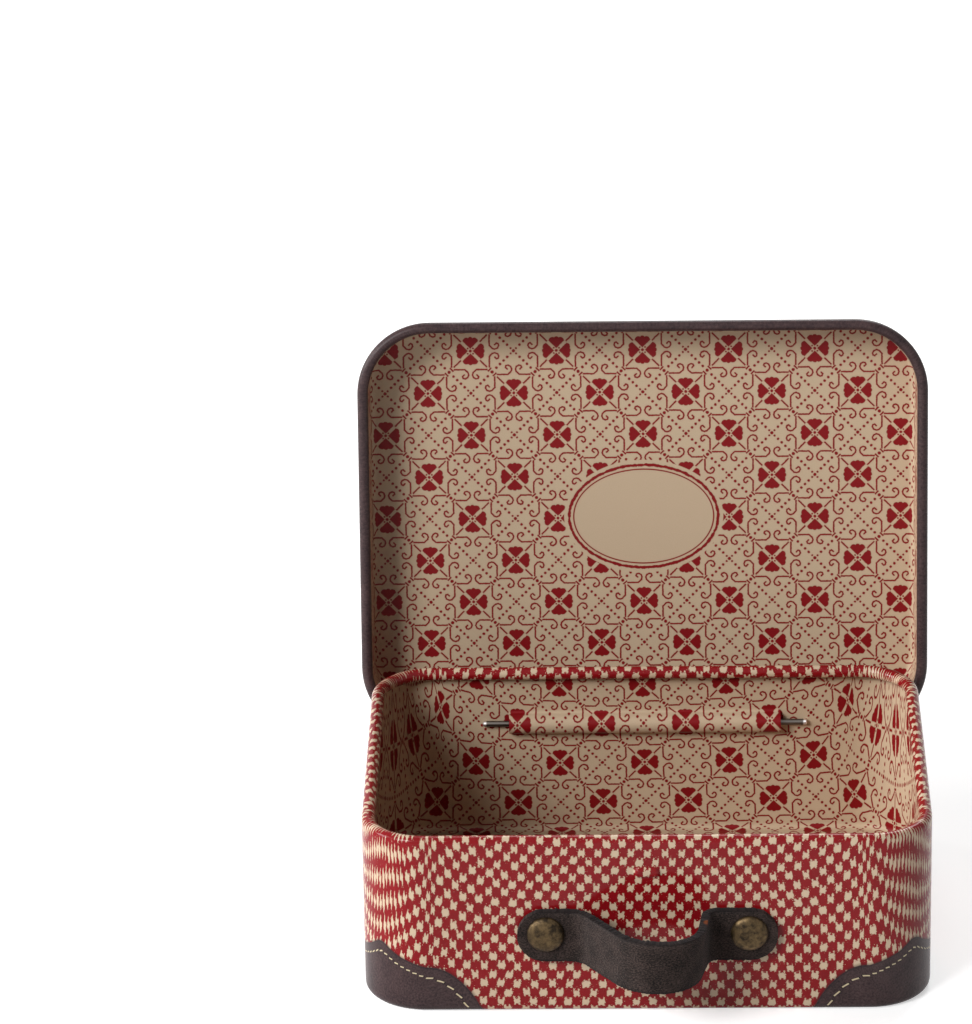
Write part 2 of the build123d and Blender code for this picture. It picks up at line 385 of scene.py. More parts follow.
def framed_label(u, v):
    """A box with an olive frame round a maroon panel and a plain ornament."""
    x, y = seen_from(u, v, 20.0, -1.7, 2.0)
    corners = far(abs(x) - 8.7, abs(y) - 5.3) - 1.2
    rules = (abs(abs(y) - 2.7) - 0.13).most(abs(x) - 5.2)
    lozenges = ((abs(x.wrap(-1.2, 1.2)) * 1.2 + abs(y) - 1.3) * 0.6).most(abs(x) - 5.9)
    return [(cut_box(x, y, 9.95, 6.5, 0.5), label_pink), (cut_box(x, y, 9.3, 5.85, 1.6), label_black),
            (cut_box(x, y, 9.05, 5.6, 1.6), paint(118, 108, 74)), (corners, label_pink),
            (cut_box(x, y, 7.9, 4.45, 1.7), label_black),
            (cut_box(x, y, 7.7, 4.25, 1.7), paint(66, 20, 22)),
            (rules.least(lozenges), label_cream)]


def ticket_label(u, v):
    """A ticket with cut corners, thin rules, black bars and a red lozenge."""
    x, y = seen_from(u, v, 6.4, 17.2, 0.7)
    rules = (abs((y - 2.2).wrap(-0.75, 0.75)) - 0.07).most(abs(x) - 9.6, abs(y - 2.2) - 1.9)
    bars = (abs(x.wrap(-0.62, 0.62)) - 0.36).most(abs(x) - 8.3, abs(y + 2.9) - 1.35)
    return [(cut_box(x, y, 12.25, 6.7, 2.4), paint(186, 154, 116)),
            (abs(cut_box(x, y, 11.6, 6.05, 2.4)) - 0.12, label_black), (rules, paint(74, 58, 50)),
            (bars, label_black), ((abs(x) * 1.3 + abs(y - 0.9) - 3.2) * 0.6, paint(150, 36, 38))]


def with_labels(tree, colour, u, v, place):
    """Lays the labels over a colour, a little yellowed and rubbed."""
    for layers in (star_label(u, v), band_label(u, v), framed_label(u, v), ticket_label(u, v)):
        paper = layers[0][0]
        printed = colour
        for distance, ink in layers:
            printed = blend_colour(tree, covered(distance, 0.10), printed, ink)
        age = (noise(tree, place, 2.6, 3.0, 0.8) - 0.42).most(0.0) * 1.1
        printed = blend_colour(tree, age, printed, paint(120, 96, 72))
        colour = blend_colour(tree, covered(paper, 0.10), colour, printed)
        colour = blend_colour(tree, covered(abs(paper - 0.05) - 0.08, 0.1) * 0.6, colour, label_black)
    return colour


print("four labels")

# %% Printed tin outside
def outside_material(name, reach_x, reach_y, centre_y=0.0, labels=False):
    """Printed tin: red print, labels, corner patches and stitches under a clear lacquer."""
    material, tree, shader = new_material(name)
    u, v, place = blank_place(tree, "Print")
    flat_u, flat_v, flat_place = blank_place(tree, "Patch")
    edge, stitch, along, across = patch_distances(flat_u, flat_v - centre_y, reach_x, reach_y)
    colour = red_print(tree, u, v, place)
    if labels:
        colour = with_labels(tree, colour, u, v, place)
    rim_shade = covered(edge - 0.30, 0.45) * 0.55
    colour = blend_colour(tree, rim_shade, colour, paint(46, 16, 20))
    inside = covered(edge, 0.10)
    band = covered(abs(edge + 0.16) - 0.14, 0.2) * 0.5
    hide = blend_colour(tree, band, leather_print(tree, flat_place), paint(26, 20, 24))
    colour = blend_colour(tree, inside, colour, hide)
    hole = covered((abs(along) - hole_half_length).most(abs(across) - hole_half_width), 0.12) * inside
    colour = blend_colour(tree, hole * 0.8, colour, paint(22, 15, 18))
    colour = blend_colour(tree, covered(stitch, 0.08), colour, thread_cream)
    worn = noise(tree, flat_place, 0.9, 3.0)
    fill(tree, shader, Base_Color=colour, Roughness=worn * 0.14 + 0.18 + inside * 0.12,
         Specular_IOR_Level=0.06, Coat_Weight=0.22, Coat_Roughness=0.08)
    bumped(tree, shader, noise(tree, flat_place, 1.1, 3.0), 0.00003)
    return material


print("printed tin ready")

# %% [markdown]
# The lining is printed too, in red on cream: rows of four-leaved flowers, crosses between them, and
# scrolls that curl round a dotted diagonal. The real pattern is a lattice with mirror lines
# everywhere, so the surface is folded along those lines, and only one small triangle is drawn.

# %% The lining print
lining_period = 14.3
lining_cream = paint(200, 178, 153)
lining_red = paint(124, 12, 18)
# One leaf, in periods: a lobe at each side, a small one in the middle, and the wedge they close.
side_lobe, side_lobe_round = (0.116, 0.046), 0.044
middle_lobe, middle_lobe_round = 0.138, 0.030
wedge_end, wedge_gap = 0.120, 0.026


def folded(u, v, phase_u, phase_v):
    """Folds the blank onto the pattern's smallest triangle, in periods."""
    x = abs(((u - phase_u) / lining_period).wrap(-0.5, 0.5))
    y = abs(((v - phase_v) / lining_period).wrap(-0.5, 0.5))
    over = (x + y).above(0.5)
    x = x + over * (0.5 - x * 2.0)
    y = y + over * (0.5 - y * 2.0)
    return x.most(y), x.least(y)


def flower(a, b):
    """A dot, four tiny dots and four fan-shaped leaves round nought."""
    lobes = far(a - side_lobe[0], b - side_lobe[1]) - side_lobe_round
    lobes = lobes.least(far(a - middle_lobe, b) - middle_lobe_round, a - wedge_end)
    leaf = ((b - a + wedge_gap) * slant).most(lobes)
    return leaf.least(far(a, b) - 0.018, far(a - 0.031, b - 0.031) - 0.011)


def stroke(a, b, points):
    """Distance to a bent line through some points."""
    nearest = None
    for (x, y), (end_x, end_y) in zip(points, points[1:]):
        run_x, run_y = end_x - x, end_y - y
        share = ((a - x) * run_x + (b - y) * run_y) / (run_x ** 2 + run_y ** 2)
        share = share.clamped()
        gap = far(a - x - share * run_x, b - y - share * run_y)
        nearest = nearest.least(gap) if nearest else gap
    return nearest


scroll_points = [(0.220, 0.190), (0.220, 0.068), (0.255, 0.030), (0.284, 0.022), (0.315, 0.034),
                 (0.330, 0.062), (0.323, 0.086), (0.304, 0.094), (0.284, 0.074)]
pen = 0.0100
# Along a diagonal, in periods: the line's two ends, the dash past it, and the row of dots.
line_start, line_end, dash_place = 0.110, 0.194, 0.221
dot_pitch, dot_place, dots_start, dots_end = 0.0425, 0.0507, 0.03, 0.20


def lattice(a, b):
    """The thin diagonals with their dots and the cross between two flowers."""
    along, aside = (a + b) * 0.5, abs(a - b)
    diagonal = (aside * slant - pen).most(line_start - along, along - line_end)
    dash = (abs(along - dash_place) * (2 * slant) - pen).most(aside * slant - 0.030)
    spaced = ((a - b) * 0.5 - dot_place).wrap(-dot_pitch / 2, dot_pitch / 2) * (2 * slant)
    dots = far(spaced, (0.5 - a - b) * slant) - 0.0165
    dots = dots.most(dots_start - (a - b) * 0.5, (a - b) * 0.5 - dots_end)
    cross = (far(a - 0.5, b) - 0.020).least(far(a - 0.469, b - 0.031) - 0.013)
    return diagonal.least(dash, far(a - 0.25, b - 0.25) - 0.020, dots, cross)


def lining_material(name, phase_u, phase_v, plate=None):
    """Lining print on cream, matt. A plate is a bare oval: its centre and its two half sizes."""
    material, tree, shader = new_material(name)
    u, v, place = blank_place(tree, "Print")
    wobble = (noise(tree, place, 1.6, 1.0) - 0.5) * 0.10
    a, b = folded(u + wobble, v + wobble, phase_u, phase_v)
    shape = flower(a, b).least(stroke(a, b, scroll_points) - pen, lattice(a, b)) * lining_period
    shape = shape + (noise(tree, place, 3.5, 1.0) - 0.5) * 0.10
    if plate:
        centre_u, centre_v, reach_u, reach_v = plate
        reach = far((u - centre_u) / reach_u, (v - centre_v) / reach_v).most(0.02)
        edge = far(u - centre_u, v - centre_v) * (1.0 - reach.node("POWER", -1.0))
        brush = (noise(tree, place, 1.3, 2.0) - 0.5) * 0.5
        shape = shape.most(1.0 - edge)
        shape = shape.least(abs(edge - 0.13) - 0.25 - brush, abs(edge + 0.61) - 0.12)
    fibre = noise(tree, place, 5.5, 2.0, 0.7)
    cream = blend_colour(tree, fibre * 0.8, paint(184, 162, 134), lining_cream)
    colour = blend_colour(tree, covered(shape, 0.12), cream, lining_red)
    edge_share = tree.nodes.new("ShaderNodeAttribute")
    edge_share.attribute_name = "rim"
    rim = Field(tree, edge_share.outputs["Fac"])
    colour = blend_colour(tree, rim, colour, leather_print(tree, place))
    fill(tree, shader, Base_Color=colour, Roughness=0.40 - rim * 0.10 + fibre * 0.08,
         Specular_IOR_Level=0.18)
    bumped(tree, shader, fibre, 0.00002)
    return material


print("lining period", lining_period, "mm")

# %% [markdown]
# Now the sheet itself. Both trays start as a small circle, which is the rolled rim seen from its
# end. The circle is opened, its free end is drawn along to make the wall, and a quarter spin makes
# the bend into the floor. This section then runs round the case: straight for a side, a spin for a
# corner. Working along the sheet keeps its faces in neat rows that the map can follow.

# %% Sizes of the sheets
tin = 0.25
corner_radius = 10.0
bend_radius = 1.2
half_x, half_y, base_height = 45.0, 33.0, 30.4
base_curl = 1.05
base_curl_z = base_height - base_curl
hinge_y, hinge_z = (place / mm for place in frame["joints"][0]["pos_m"][1:])
lid_back_gap, lid_front_gap, lid_side_gap, lid_seat_gap = 0.15, 0.811, 0.30, 0.02
lid_half_x = half_x + lid_side_gap + tin
lid_half_y = half_y + (lid_front_gap + lid_back_gap) / 2 + tin
lid_centre_y = (lid_back_gap - lid_front_gap) / 2
lid_corner_radius = corner_radius + lid_side_gap + tin
lid_height = 9.5
lid_face_z = base_height + lid_seat_gap + tin
lid_curl = 0.65
lid_curl_z = lid_face_z - lid_height + lid_curl + tin
curl_sides, bend_steps, floor_lip = 24, 5, 0.35
along_wire, on_edge = (1, 0, 0), (0, math.pi / 2, 0)
print("hinge at", round(hinge_y, 3), round(hinge_z, 3), "lid face at", round(lid_face_z, 3))


# %% Helpers for modelling
near = 0.01  # mm: places this close count as one


def to_mode(name):
    """Enters edit or object mode."""
    bpy.ops.object.mode_set(mode=name)


def chosen(piece, kind, test):
    """Selects the vertices or faces that pass the test on x, y, z in mm, and stays in edit mode."""
    to_mode("EDIT")
    bpy.ops.mesh.select_mode(type="VERT" if kind == "vertices" else "FACE")
    bpy.ops.mesh.select_all(action="DESELECT")
    to_mode("OBJECT")
    elements = piece.data.vertices if kind == "vertices" else piece.data.polygons
    places = np.empty(len(elements) * 3)
    elements.foreach_get("co" if kind == "vertices" else "center", places)
    picked = test(*(places.reshape(-1, 3) / mm).T)
    elements.foreach_set("select", picked)
    to_mode("EDIT")
    return int(np.count_nonzero(picked))


def draw_out(x=0.0, y=0.0, z=0.0):
    """Extrudes what is selected by that many millimetres."""
    bpy.ops.mesh.extrude_region_move(TRANSFORM_OT_translate={"value": Vector((x, y, z)) * mm})


def spin_round(angle, steps, centre, axis):
    """Extrudes what is selected round an axis, counter-clockwise; the tool itself turns clockwise."""
    bpy.ops.mesh.spin(steps=steps, angle=-math.radians(angle), center=Vector(centre) * mm, axis=axis)


def merge_close():
    """Merges the vertices that lie on each other."""
    bpy.ops.mesh.select_all(action="SELECT")
    bpy.ops.mesh.remove_doubles(threshold=near * mm)


def only(piece):
    """Makes this the one selected and active object."""
    if bpy.context.mode != "OBJECT":
        to_mode("OBJECT")
    bpy.ops.object.select_all(action="DESELECT")
    piece.select_set(True)
    bpy.context.view_layer.objects.active = piece


def started(name, primitive, centre, turn=(0, 0, 0), **settings):
    """Adds a primitive at its place and names it; its place goes into its mesh."""
    bpy.ops.object.select_all(action="DESELECT")
    primitive(location=Vector(centre) * mm, rotation=turn, **settings)
    piece = bpy.context.object
    piece.name = piece.data.name = name
    bpy.ops.object.transform_apply(location=True, rotation=True, scale=True)
    return piece


def modified(piece, kind, **settings):
    """Adds a modifier, sets it and applies it."""
    only(piece)
    modifier = piece.modifiers.new(kind.title(), kind)
    for name, value in settings.items():
        setattr(modifier, name, value)
    bpy.ops.object.modifier_apply(modifier=modifier.name)


def vertex_places(piece):
    """All the vertices' places as rows of x, y, z in mm."""
    places = np.empty(len(piece.data.vertices) * 3)
    piece.data.vertices.foreach_get("co", places)
    return places.reshape(-1, 3) / mm


def put_vertices(piece, places):
    """Gives all the vertices new places in mm."""
    piece.data.vertices.foreach_set("co", (places * mm).ravel())
    piece.data.update()


def face_out():
    """Merges what lies together and turns all faces outwards."""
    merge_close()
    bpy.ops.mesh.normals_make_consistent(inside=False)


def measured(piece):
    """Prints a piece's box in mm and its faces."""
    places = vertex_places(piece)
    low, high = places.min(axis=0).round(2), places.max(axis=0).round(2)
    faces = len(piece.data.polygons)
    print(piece.name, "from", low.tolist(), "to", high.tolist(), "with", faces, "faces")


print("modelling helpers ready")

# %% [markdown]
# The base tray's rim is rolled inwards, so the print shows all round it. The circle sits against the
# front wall at its left end. The gap in it faces down and out, where the roll isn't closed.

# %% The base tray's section
circle = bpy.ops.mesh.primitive_circle_add
front_y = -half_y
section_x = -(half_x - corner_radius)
base = started("base_sheet", circle, (section_x, front_y + base_curl, base_curl_z), on_edge,
               vertices=curl_sides, radius=base_curl * mm)


def between(low, high, centre_y, centre_z):
    """A test for vertices at an angle between two, in degrees, round a centre."""
    def test(x, y, z):
        angle = np.degrees(np.arctan2(z - centre_z, y - centre_y)) % 360
        return (angle > low) & (angle < high)
    return test


removed = chosen(base, "vertices", between(185, 235, front_y + base_curl, base_curl_z))
bpy.ops.mesh.delete(type="VERT")
chosen(base, "vertices", lambda x, y, z: (y < front_y + near) & (abs(z - base_curl_z) < near))
channel_radius = 1.45
mouth_radius = half_y - hinge_y
mouth_reach = channel_radius + mouth_radius
levels = [base_curl_z - 0.4, 27.6, 26.2, 25.3, 24.4, 23.5, hinge_z + mouth_reach, hinge_z,
          hinge_z - mouth_reach, 16.6, 15.3, 14.0, 12.4, 10.8, 9.2, 7.6, 6.0, 4.5, 3.1, 1.9, bend_radius]
for level, above in zip(levels, [base_curl_z] + levels):
    draw_out(z=level - above)
spin_round(90, bend_steps, (section_x, front_y + bend_radius, bend_radius), along_wire)
draw_out(y=floor_lip)
print("taken out of the circle:", removed, "vertices")


# %% Run a section round a tray
side_spacing, corner_steps = 1.6, 24


def stations(end, kept=()):
    """Places along a side from -end to end, with some that must be among them."""
    marks = sorted({-end, end, *kept})
    places = [marks[0]]
    for low, high in zip(marks, marks[1:]):
        count = max(1, round((high - low) / side_spacing))
        places += [low + (high - low) * (k + 1) / count for k in range(count)]
    return places


def run_round(centre_y, reach_x, reach_y, radius, kept_at_back):
    """Runs the section round a rounded rectangle, from the front wall's left end."""
    bpy.ops.mesh.select_all(action="SELECT")
    long_side, short_side = stations(reach_x - radius), stations(reach_y - radius)
    back_side = stations(reach_x - radius, kept_at_back)
    corners = ((1, -1), (1, 1), (-1, 1), (-1, -1))
    for quarter, side in enumerate((long_side, short_side, back_side, short_side)):
        along = Vector((math.cos(quarter * math.pi / 2), math.sin(quarter * math.pi / 2), 0))
        for start, end in zip(side, side[1:]):
            draw_out(*(along * (end - start)))
        toward_x, toward_y = corners[quarter]
        pivot = (toward_x * (reach_x - radius), centre_y + toward_y * (reach_y - radius), 0)
        spin_round(90, corner_steps, pivot, (0, 0, 1))
    merge_close()


channel_end, knuckle_end = 22.6, 22.3
run_round(0.0, half_x, half_y, corner_radius, (-channel_end, channel_end))
to_mode("OBJECT")
measured(base)

# %% [markdown]
# The floor closes the tray with one face inside the bend. The hinge needs a channel in the back wall:
# a window is cut in the wall's faces, its lower edge is turned in and spun half round the wire, and
# the last edge meets the window's top. A real press does the same in one blow, and can't leave a
# sharp edge at the channel's mouth, so both edges there are round.


# %% The base tray's floor and channel
def outline_distance(places, centre_y, reach_x, reach_y, radius):
    """How far out from a rounded outline each place lies, and the direction straight out."""
    x, y = places[:, 0], places[:, 1] - centre_y
    over_x, over_y = abs(x) - (reach_x - radius), abs(y) - (reach_y - radius)
    both = (over_x > 0) & (over_y > 0)
    reach = np.hypot(over_x, over_y)
    safe = np.maximum(reach, 1e-9)
    flat_side = over_x > over_y
    out_x = np.where(both, over_x / safe, flat_side) * np.sign(x)
    out_y = np.where(both, over_y / safe, ~flat_side) * np.sign(y)
    distance = np.where(both, reach, np.maximum(over_x, over_y)) - radius
    return distance, np.stack((out_x, out_y), axis=1), over_x, over_y


def close_floor(piece, level, *outline):
    """Fills the flat hole inside the bend."""
    def inner_edge(x, y, z):
        distance = outline_distance(np.stack((x, y, z), axis=1), *outline)[0]
        return (abs(z - level) < near) & (distance < -bend_radius - 0.1)
    chosen(piece, "vertices", inner_edge)
    bpy.ops.mesh.edge_face_add()
    bpy.ops.mesh.inset(thickness=4 * mm)


base_outline = (0.0, half_x, half_y, corner_radius)
lid_outline = (lid_centre_y, lid_half_x, lid_half_y, lid_corner_radius)
close_floor(base, 0.0, *base_outline)


def in_window(x, y, z):
    return (y > half_y - 0.1) & (abs(x) < channel_end) & (abs(z - hinge_z) < mouth_reach)


print("faces out of the window:", chosen(base, "faces", in_window))
bpy.ops.mesh.delete(type="FACE")
chosen(base, "vertices", lambda x, y, z: (y > half_y - 0.1) & (abs(x) < channel_end + near)
       & (abs(z - hinge_z + mouth_reach) < near))
spin_round(90, bend_steps, (0, hinge_y, hinge_z - mouth_reach), along_wire)
spin_round(-180, 12, (0, hinge_y, hinge_z), along_wire)
spin_round(90, bend_steps, (0, hinge_y, hinge_z + mouth_reach), along_wire)
face_out()
to_mode("OBJECT")
measured(base)


# %% The snap dimples
dimple_length, dimple_width, dimple_rise, dimple_z = 4.2, 1.8, 0.5, 24.4
dimple_foot, dimple_slope = 0.12, 0.62
fine_reach_x, fine_reach_z, fine_cuts = 3.4, 1.8, 7


def press_dimple(piece, wall_y):
    """Divides the wall finely at the dimple and presses it out with a soft edge."""
    chosen(piece, "faces", lambda x, y, z: (abs(y - wall_y) < 0.1) & (abs(x) < fine_reach_x)
           & (abs(z - dimple_z) < fine_reach_z))
    bpy.ops.mesh.subdivide(number_cuts=fine_cuts)
    to_mode("OBJECT")
    places = vertex_places(piece)
    x, y, z = places.T
    past_end = np.maximum(abs(x) - (dimple_length - dimple_width) / 2, 0)
    inside = dimple_width / 2 + dimple_foot - np.hypot(past_end, z - dimple_z)
    share = np.clip(inside / dimple_slope, 0, 1)
    share = share * share * (3 - 2 * share)
    places[:, 1] -= np.where(abs(y - wall_y) < 0.1, dimple_rise * share, 0)
    put_vertices(piece, places)


press_dimple(base, front_y)
normals = np.empty(len(base.data.polygons) * 3)
base.data.polygons.foreach_get("normal", normals)
print("front wall looks out:", bool(np.min(normals.reshape(-1, 3)[:, 1]) < -0.9))

# %% [markdown]
# The lid is the same kind of drawing, upside down and with its rim rolled outwards. At the back its
# sheet has no rolled rim between the channel's ends: there it runs on as the knuckle round the wire.
# It is modelled shut, where its sizes are plain, and turned open at the very end.

# %% The lid's section, run round
lid_front_y = lid_centre_y - lid_half_y
lid_section_x = -(lid_half_x - lid_corner_radius)
lid = started("lid_sheet", circle, (lid_section_x, lid_front_y - lid_curl, lid_curl_z), on_edge,
              vertices=curl_sides, radius=lid_curl * mm)
chosen(lid, "vertices", between(5, 55, lid_front_y - lid_curl, lid_curl_z))
bpy.ops.mesh.delete(type="VERT")
chosen(lid, "vertices", lambda x, y, z: (y > lid_front_y - near) & (abs(z - lid_curl_z) < near))
lid_levels = [lid_curl_z + 0.4, 23.5, 24.4, 25.3, 26.6, 28.0, lid_face_z - bend_radius - 0.4,
              lid_face_z - bend_radius]
for level, below in zip(lid_levels, [lid_curl_z] + lid_levels):
    draw_out(z=level - below)
lid_bend = (lid_section_x, lid_front_y + bend_radius, lid_face_z - bend_radius)
spin_round(-90, bend_steps, lid_bend, along_wire)
draw_out(y=floor_lip)
run_round(*lid_outline, (-channel_end, -knuckle_end, knuckle_end, channel_end))
close_floor(lid, lid_face_z, *lid_outline)
to_mode("OBJECT")
measured(lid)

# %% The lid's knuckle
lid_back_y = lid_centre_y + lid_half_y
chosen(lid, "faces", lambda x, y, z: (y > lid_back_y + 0.001) & (abs(x) < channel_end)
       & (z < lid_curl_z + 0.7))
bpy.ops.mesh.delete(type="FACE")
chosen(lid, "vertices", lambda x, y, z: (abs(y - lid_back_y) < near) & (abs(x) < knuckle_end + near)
       & (abs(z - lid_curl_z) < near))
knuckle_radius, knuckle_turn, knuckle_steps = 0.78, 295, 24
touch = knuckle_radius * math.sqrt(0.5)
wall_reach = lid_back_y - hinge_y
slope_top = wall_reach - 2 * touch
draw_out(z=hinge_z + slope_top - lid_curl_z)
draw_out(y=touch - wall_reach, z=-touch - slope_top)
spin_round(-knuckle_turn, knuckle_steps, (0, hinge_y, hinge_z), along_wire)
face_out()
press_dimple(lid, lid_front_y)
measured(lid)

# %% [markdown]
# Each sheet now gets two maps back to its flat blank, in millimetres. On the straight sides a point
# of the wall lies as far outside the outline as it is high. A corner has to take a fan of sheet in:
# the print slides into it from both sides, more in its halves than at its ends, and is squeezed
# sideways and drawn out upwards. It also narrows a little towards the rim, and it lay a little askew
# in the press. The leather patches were printed with all that in mind, and follow a plainer law.

# %% The blank maps
slide_in, slide_wave, slide_fade = 1.4, 1.48, 2.5
early_squeeze, early_reach, late_reach = 0.4, 8.5, 3.8
patch_rise, patch_rise_start, patch_rise_width = 0.2, -0.5, 2.0
patch_dip, patch_dip_reach = 0.15, 2.3
narrowed_height, narrowed_power = 27, 1.5


def smooth_step_in(depth, start, width):
    """From 0 outside a corner to 1 deep inside it."""
    return 0.5 + 0.5 * np.tanh((depth - start) / width)


def foot_on_outline(places, outline, shift):
    """Each place's foot on the outline, slid into the corner, the way out there, and how deep in the
    corner it lies."""
    centre_y, reach_x, reach_y, radius = outline
    over_x, over_y = outline_distance(places, *outline)[2:]
    quarter_arc = radius * math.pi / 2
    angle = np.arctan2(np.maximum(over_x, 0), np.maximum(over_y, 1e-9))
    beside = np.where(over_y > over_x, np.minimum(over_x, 0), quarter_arc - np.minimum(over_y, 0))
    along = np.where((over_x > 0) & (over_y > 0), radius * angle, beside)
    share = np.clip(along / quarter_arc, 0, 1)
    past_end = np.maximum(-along, along - quarter_arc)
    fade = np.exp(-np.maximum(past_end, 0) / slide_fade)
    along = along + shift * (fade * (1 - 2 * share) - slide_wave * np.sin(2 * math.pi * share))
    angle = np.clip(along, 0, quarter_arc) / radius
    out = np.stack((np.sin(angle), np.cos(angle)), axis=1)
    foot_x = reach_x - radius + radius * out[:, 0] + np.minimum(along, 0)
    foot_y = reach_y - radius + radius * out[:, 1] - np.maximum(along - quarter_arc, 0)
    signs = np.sign(np.stack((places[:, 0], places[:, 1] - centre_y), axis=1))
    foot = np.stack((foot_x, foot_y), axis=1) * signs + (0, centre_y)
    return foot, out * signs, np.minimum(along, quarter_arc - along)


def write_map(piece, name, flat):
    """Stores one place per vertex as a UV map."""
    layer = piece.data.uv_layers.new(name=name)
    corners = np.empty(len(piece.data.loops), dtype=np.int32)
    piece.data.loops.foreach_get("vertex_index", corners)
    layer.data.foreach_set("uv", flat[corners].ravel())


def write_blank_maps(piece, outline, height, on_bend, narrowed=0.0, turned=0.0, squeezed=1.0):
    """Stores the maps Print, which yields in the corners, narrows and turns, and Patch, plainer."""
    places = vertex_places(piece)
    radius = outline[3]
    drawn = np.sqrt(radius * radius + 2 * radius * np.maximum(height, 0)) - radius
    foot, out, depth = foot_on_outline(places, outline, slide_in * drawn / (radius + drawn))
    early = early_squeeze * np.exp(np.minimum(depth, 0) / early_reach)
    late = (1 - early_squeeze) * (1 - np.exp(-(np.maximum(depth, 0) / late_reach) ** 2))
    squeeze = (early + late) * squeezed
    reach = (1 - squeeze) * height + squeeze * drawn
    plain_foot, plain_out, depth = foot_on_outline(places, outline, 0)
    rise = patch_rise * smooth_step_in(depth, patch_rise_start, patch_rise_width)
    dip = patch_dip * np.exp(-((depth - radius * math.pi / 4) / patch_dip_reach) ** 2)
    plain_reach = height * (1 + rise - dip)
    narrowed = narrowed * np.clip(height / narrowed_height, 0, 1) ** narrowed_power
    sideways = foot - out * np.sum(foot * out, axis=1)[:, None]
    foot = foot + sideways * narrowed[:, None]
    turn = np.array(((1, -turned / 2), (turned, 1)))
    for name, foot, out, reach, matrix in (("Print", foot, out, reach, turn),
                                           ("Patch", plain_foot, plain_out, plain_reach, np.eye(2))):
        foot = np.where(on_bend[:, None], places[:, :2], foot)
        write_map(piece, name, (foot + out * reach[:, None]) @ matrix)


def sheet_length_round(angle, radius):
    """The length of sheet round a curl up to an angle, where a little below nought means nought."""
    return radius * np.where(angle > math.radians(330), 0, angle)


# How far the print comes down per millimetre that the channel is pressed in: its upper side keeps
# its length, and the under side takes the stretch.
channel_shift = 0.43
# The print is turned by this many radians across the case and by half as many along it, and it is
# narrower by this share near the rim.
print_turn, print_narrowing = 0.0225, 0.033

x, y, z = vertex_places(base).T
base_distance = outline_distance(vertex_places(base), *base_outline)[0]
base_turn = np.arctan2(z - base_curl_z, base_distance + base_curl) % (2 * math.pi)
in_curl = (base_distance < -0.001) & (z > base_curl_z - base_curl - 0.05)
base_length = np.where(in_curl, base_curl_z + sheet_length_round(base_turn, base_curl), z)
in_channel = (base_distance < -0.001) & (abs(z - hinge_z) < mouth_reach)
base_length = np.where(in_channel, z + channel_shift * base_distance, base_length)
pressed_in = np.where(in_channel, np.clip(-base_distance / mouth_radius, 0, 1), 0)
write_blank_maps(base, base_outline, base_length, z < bend_radius, print_narrowing, print_turn,
                 1 - pressed_in)

x, y, z = vertex_places(lid).T
lid_distance = outline_distance(vertex_places(lid), *lid_outline)[0]
lid_turn = (np.arctan2(z - lid_curl_z, lid_distance - lid_curl) - math.pi) % (2 * math.pi)
in_curl = (lid_distance > 0.001) & (z < lid_curl_z + lid_curl + 0.05)
wall_length = lid_face_z - lid_curl_z
lid_length = np.where(in_curl, wall_length + sheet_length_round(lid_turn, lid_curl), lid_face_z - z)
wire_turn = (-math.pi / 4 - np.arctan2(z - hinge_z, y - hinge_y)) % (2 * math.pi)
in_knuckle = np.hypot(z - hinge_z, y - hinge_y) < knuckle_radius + 0.01
slope_length = (wall_reach - touch) * math.sqrt(2)
to_wire = lid_face_z - hinge_z - slope_top + slope_length
lid_length = np.where(in_knuckle, to_wire + sheet_length_round(wire_turn, knuckle_radius), lid_length)
write_blank_maps(lid, lid_outline, lid_length, z > lid_face_z - bend_radius)

# The lid's lining gives way to leather print just before the roll.
rim_start, rim_soft = 0.35, 0.5
rim = lid.data.attributes.new("rim", "FLOAT", "POINT")
rim.data.foreach_set("value", np.clip((lid_length - wall_length + rim_start) / rim_soft, 0, 1))
for tray, length in (("base", base_length), ("lid", lid_length)):
    print("longest sheet on the", tray, round(float(length.max()), 2), "mm")

# %% [markdown]
# Solidify gives the sheets their quarter of a millimetre, inwards from the printed side. It copies
# the maps to the inner skin, whose faces take the next material in the list, the lining. The cut
# edges take the third, bare tin.

# %% Bare tin and the trays' finishes
bare_tin, tree, shader = new_material("bare_tin")
place = tree.nodes.new("ShaderNodeTexCoord").outputs["Object"]
worn = noise(tree, place, 900.0, 3.0)
fill(tree, shader, Base_Color=blend_colour(tree, worn, paint(120, 116, 108), paint(196, 192, 184)),
     Roughness=worn * 0.3 + 0.25, Metallic=1.0)


def into_tray(piece, name, node, body, outside, lining):
    """Gives the sheet its finishes, thickness and smooth shading, and puts it for the CAD node."""
    for material in (outside, lining, bare_tin):
        piece.data.materials.append(material)
    modified(piece, "SOLIDIFY", thickness=tin * mm, offset=-1.0, material_offset=1, material_offset_rim=2)
    bpy.ops.object.shade_smooth_by_angle(angle=math.radians(38))
    piece.name = piece.data.name = name
    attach(piece, body)
    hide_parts(node)


plate_centre_y = -0.73
plate = (0.1, plate_centre_y, 12.3, 8.65)
base_finish = outside_material("base_outside_print", half_x, half_y)
base_lining = lining_material("base_lining_print", 0.98, 2.65)
into_tray(base, "printed_base_tray", "base_tray", "case", base_finish, base_lining)
lid_finish = outside_material("lid_outside_print", lid_half_x, lid_half_y, lid_centre_y, labels=True)
lid_lining = lining_material("lid_lining_print", 0.08, plate_centre_y + 0.23, plate)
into_tray(lid, "printed_lid_tray", "lid_tray", "lid", lid_finish, lid_lining)
measured(base)

# %% [markdown]
# The hinge axis turns the shut lid to its open stop. The rotate tool has no window to take a pivot
# from, so it is told the hinge line, and it turns the other way round.

